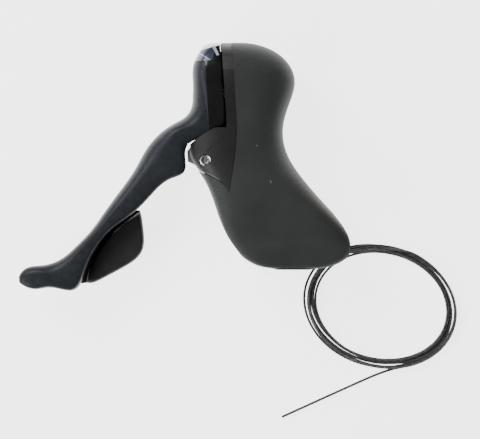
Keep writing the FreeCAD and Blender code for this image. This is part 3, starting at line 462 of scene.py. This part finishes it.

# %% [markdown]
# ### Moulded plastics
#
# The bracket, the paddle and the winding unit are glass-filled nylon: dark, finely grained and a little uneven
# in gloss. One function makes all three. The bracket then gets its own marks on the outer side: a short slit and
# a gate mark above the pivot, darkened as painted shade in their dents, a paler line on the rim beside the hood,
# and painted highlight bands near its top.


# %% Bracket, paddle and unit mouldings
def moulding(name, dark, light, rough, shine=0.4):
    finish = Finish(name, specular_ior_level=shine)
    patch = finish.noise(9 * MM, 3.0)
    fine = finish.noise(0.35 * MM, 2.0, 0.6)
    colour = finish.ramp(patch, (0.3, dark), (0.75, light))
    finish.set(base_color=colour, roughness=patch * 0.14 + fine * 0.1 + rough)
    finish.bump(fine * 0.025, MM)
    finishes[name] = finish.material
    return finish, colour, fine


nylon, black, fine = moulding("bracket_plastic", (0.0060, 0.0060, 0.0062), (0.0100, 0.0100, 0.0102), 0.34)
_, height, outward = nylon.millimetres()
outer = outward.step(6.0, 8.0)
# The slit and the gate mark are darkened as painted shade in their dents.
slit = nylon.stroke((-40.0, 41.0), (-37.6, 43.8), 0.22, 0.2)
gate = nylon.stroke((-34.9, 45.7), (-34.7, 45.7), 0.35, 0.2)
marks_with_painted_shade = (slit + gate) * outer
rim = nylon.stroke((-43.8, 32.2), (-38.6, 29.9), 0.25, 0.35) + nylon.stroke((-38.6, 29.9), (-34.6, 27.6), 0.2, 0.35)
# Painted highlight bands near the bracket's top, lighter where its shoulder and top edge face the light.
painted_highlight_band = height.step(79.6, 80.6) * (1 - height.step(85.6, 87.0)) + height.step(90.4, 92.4) * 1.4
pale_line_and_highlight = (rim * outer + painted_highlight_band * 0.28).clamp()
black = nylon.blend(pale_line_and_highlight, black, (0.060, 0.060, 0.059))
# Near-black painted shade in the slit and the gate mark.
nylon.set(base_color=nylon.blend(marks_with_painted_shade.clamp(), black, (0.0012, 0.0012, 0.0012)))
nylon.bump(fine * 0.025 - marks_with_painted_shade * 0.3, MM)
moulding("paddle_plastic", (0.0190, 0.0190, 0.0192), (0.0270, 0.0270, 0.0274), 0.45, 0.15)
moulding("unit_plastic", (0.03, 0.03, 0.033), (0.05, 0.05, 0.054), 0.4)

# %% [markdown]
# ### Painted blade
#
# The blade is an alloy casting in dark blue-grey paint under a thin clear coat. Fine flakes sit in a dark base,
# so a very small noise picks out the flakes, and two slower noises mottle the blue. A painted highlight follows the
# ridge beside the plate.

# %% Blade paint
paint = Finish("blade_paint", coat_roughness=0.34, specular_ior_level=0.06)
drift = paint.noise(16 * MM, 2.0)
flake = paint.noise(0.2 * MM, 1.0, 0.4)
mottle = drift * 0.5 + paint.noise(2.6 * MM, 2.0) * 0.5
depth = paint.ramp(mottle, (0.35, (0.0170, 0.0190, 0.0230)), (0.68, (0.0290, 0.0318, 0.0370)))
# A painted highlight along the ridge beside the plate, on the outer side.
ridge_highlight = paint.stroke((-43.0, 79.5), (-38.8, 53.5), 0.2, 0.9) * paint.millimetres()[2].step(4.0, 6.0)
depth = paint.blend(ridge_highlight * 0.5, depth, (0.060, 0.064, 0.070))
paint.set(base_color=paint.blend((flake - 0.63).clamp() * 2.0, depth, (0.05, 0.065, 0.08)))
paint.set(roughness=drift * 0.12 + 0.34, coat_weight=drift * 0.1 + 0.1)
paint.bump(flake * 0.004, MM)
finishes["blade_paint"] = paint.material

# %% [markdown]
# ### Gloss plate and faceted trim
#
# The plate on the head is a bare gloss-black inlay with faint polishing haze. Above it sits a metal trim whose
# facets are painted reflections: blue-grey tones, one facet in painted shade and bright painted highlights. Flat
# facets need only straight borders, so each is a half-plane mask: how far a place lies beside a line, turned into a
# crisp step.

# %% Gloss plate
gloss = Finish("plate_gloss", specular_ior_level=0.45, coat_roughness=0.05)
haze = gloss.noise(6 * MM, 3.0)
gloss.set(base_color=gloss.ramp(haze, (0.3, (0.0022, 0.0022, 0.0026)), (0.8, (0.0050, 0.0050, 0.0056))))
gloss.set(roughness=haze * 0.10 + 0.14, coat_weight=haze * 0.1 + 0.05)
finishes["plate_gloss"] = gloss.material

# %% Faceted trim
trim = Finish("trim_metal", metallic=0.55, specular_ior_level=0.5)
brushing = trim.noise(0.3 * MM, 2.0)
# Facet colours: blue-grey painted reflections, a painted-shade colour and a bright painted-highlight colour.
reflection_slate, reflection_blue, facet_shade_colour = (0.045, 0.056, 0.085), (0.085, 0.10, 0.14), (0.004, 0.004, 0.006)
highlight_colour = (0.62, 0.63, 0.65)
lower = 1 - trim.beside((-44.4, 88.2), (-38.9, 84.6)).step(-0.1, 0.1)
painted_facet_light = trim.blend(lower, reflection_slate, reflection_blue)
# The corner facet is in painted shade.
corner = 1 - trim.beside((-38.2, 84.0), (-36.6, 89.4)).step(-0.1, 0.1)
painted_facet_light = trim.blend(corner, painted_facet_light, facet_shade_colour)
# Painted highlights along the facet ridge, the top edge and a short stroke at the trim's end.
ridge_highlight = trim.stroke((-44.4, 88.2), (-38.9, 84.6), 0.12, 0.2)
top_edge_highlight = trim.beside((-44.2, 89.3), (-37.4, 91.0)).step(-0.1, 0.1)
lights = (ridge_highlight * 0.5 + top_edge_highlight + trim.stroke((-37.3, 91.0), (-35.2, 87.0), 0.55, 0.2)).clamp()
trim.set(base_color=trim.blend(lights, painted_facet_light, highlight_colour))
trim.set(roughness=brushing * 0.18 + 0.16)
trim.bump(brushing * 0.006, MM)
finishes["trim_metal"] = trim.material

# %% [markdown]
# ### Bare metals
#
# Steel pins, springs and screws and the alloy lever base are bare metal with fine brushing. The end of the
# lever axle is bright at its rim and darkened inside its recess as painted shade, so its finish also looks at the
# distance from the axle's own centre line, and a bright bar of painted highlight is left across the middle.


# %% Bare metals
def bare_metal(name, dark, light, rough, streak):
    finish = Finish(name, metallic=1.0)
    stretch = finish.node("ShaderNodeMapping", {}, {"Vector": finish.place, "Scale": (1.0, 1.0, streak)})
    brush = finish.node("ShaderNodeTexNoise", {}, {"Vector": stretch, "Scale": 1200.0, "Detail": 3.0})
    stain = finish.noise(3 * MM, 3.0)
    colour = finish.ramp(stain, (0.3, dark), (0.75, light))
    finish.set(base_color=colour, roughness=brush * 0.2 + rough)
    finish.bump(brush * 0.008, MM)
    finishes[name] = finish.material
    return finish, colour


bare_metal("steel", (0.30, 0.30, 0.30), (0.46, 0.46, 0.45), 0.22, 0.1)
bare_metal("alloy", (0.42, 0.42, 0.43), (0.60, 0.60, 0.61), 0.30, 0.2)

axle_end, turned_steel = bare_metal("axle_steel", (0.62, 0.62, 0.61), (0.78, 0.78, 0.76), 0.2, 1.0)
across, height, _ = axle_end.millimetres()
spread = (across - AXLE[0]) * (across - AXLE[0]) + (height - AXLE[1]) * (height - AXLE[1])
# Darker inside the recess as painted shade, with a bar of painted highlight left bright across it.
inside = 1 - spread.step(2.2, 3.4)
highlight_bar = 1 - abs(across - AXLE[0]).step(0.25, 0.5)
painted_recess_shade = (inside - highlight_bar * 0.7).clamp()
axle_end.set(base_color=axle_end.blend(painted_recess_shade, turned_steel, (0.24, 0.24, 0.235)))

# %% [markdown]
# ### Stranded cable
#
# The cable is wires twisted round each other. Its curve carries a UV map that runs along and around it, so the
# strands are a sine of both: several ridges around, slowly turning along the length. The grooves are painted dark
# as shade and the ridge tops paler as painted light. Oil dulls the steel, so the finish is only a little metallic.

# %% Stranded cable
STRANDS = 7
LAY = 9 * MM
strand = Finish("cable_steel", metallic=0.1, specular_ior_level=0.1)
unrolled = strand.node("ShaderNodeTexCoord", {}, {}, "UV")
parts = [strand.node("ShaderNodeSeparateXYZ", {}, {0: unrolled}, axis) for axis in "XY"]
twist = (parts[0] * STRANDS + parts[1] * (STRANDS * round(CABLE_LENGTH / LAY))) * math.tau
ridges = twist.sine() * 0.5 + 0.5
oil = strand.noise(7 * MM, 2.0)
# Dark grooves and pale ridge tops are painted shade and painted light on the strand relief.
painted_strand_shading = strand.ramp(ridges, (0.15, (0.045, 0.047, 0.046)), (0.85, (0.230, 0.238, 0.230)))
strand.set(base_color=strand.blend(oil.step(0.45, 0.7) * 0.4, painted_strand_shading, (0.060, 0.060, 0.068)))
strand.set(roughness=oil * 0.2 + 0.42)
strand.bump(ridges * 0.12, MM)
finishes["cable_steel"] = strand.material

# %% [markdown]
# ## Dressing
#
# The record names a material slot for each solid, and each slot has a finish of the same name. Only the round
# axle, which stands in for the plain one, gets a finish of its own.

# %% Dress every piece
slot_of = {row["node"]: row["material_slot"] for row in frame["record"]["subparts"]}
for name, solid in nodes.items():
    solid.data.materials.clear()
    solid.data.materials.append(finishes[slot_of[name]])
cable.data.materials.append(finishes["cable_steel"])
axle.data.materials.append(finishes["axle_steel"])
# The joint plates and the slit plates are dark sheets of painted shade.
for plate in joint_shade_plates:
    plate.data.materials.append(finishes["bracket_plastic"])
for plate in slit_shade_plates:
    plate.data.materials.append(finishes["paddle_plastic"])
print(f"{len(finishes)} finishes on {len(nodes)} solids")

# %% Final update
bpy.context.view_layer.update()
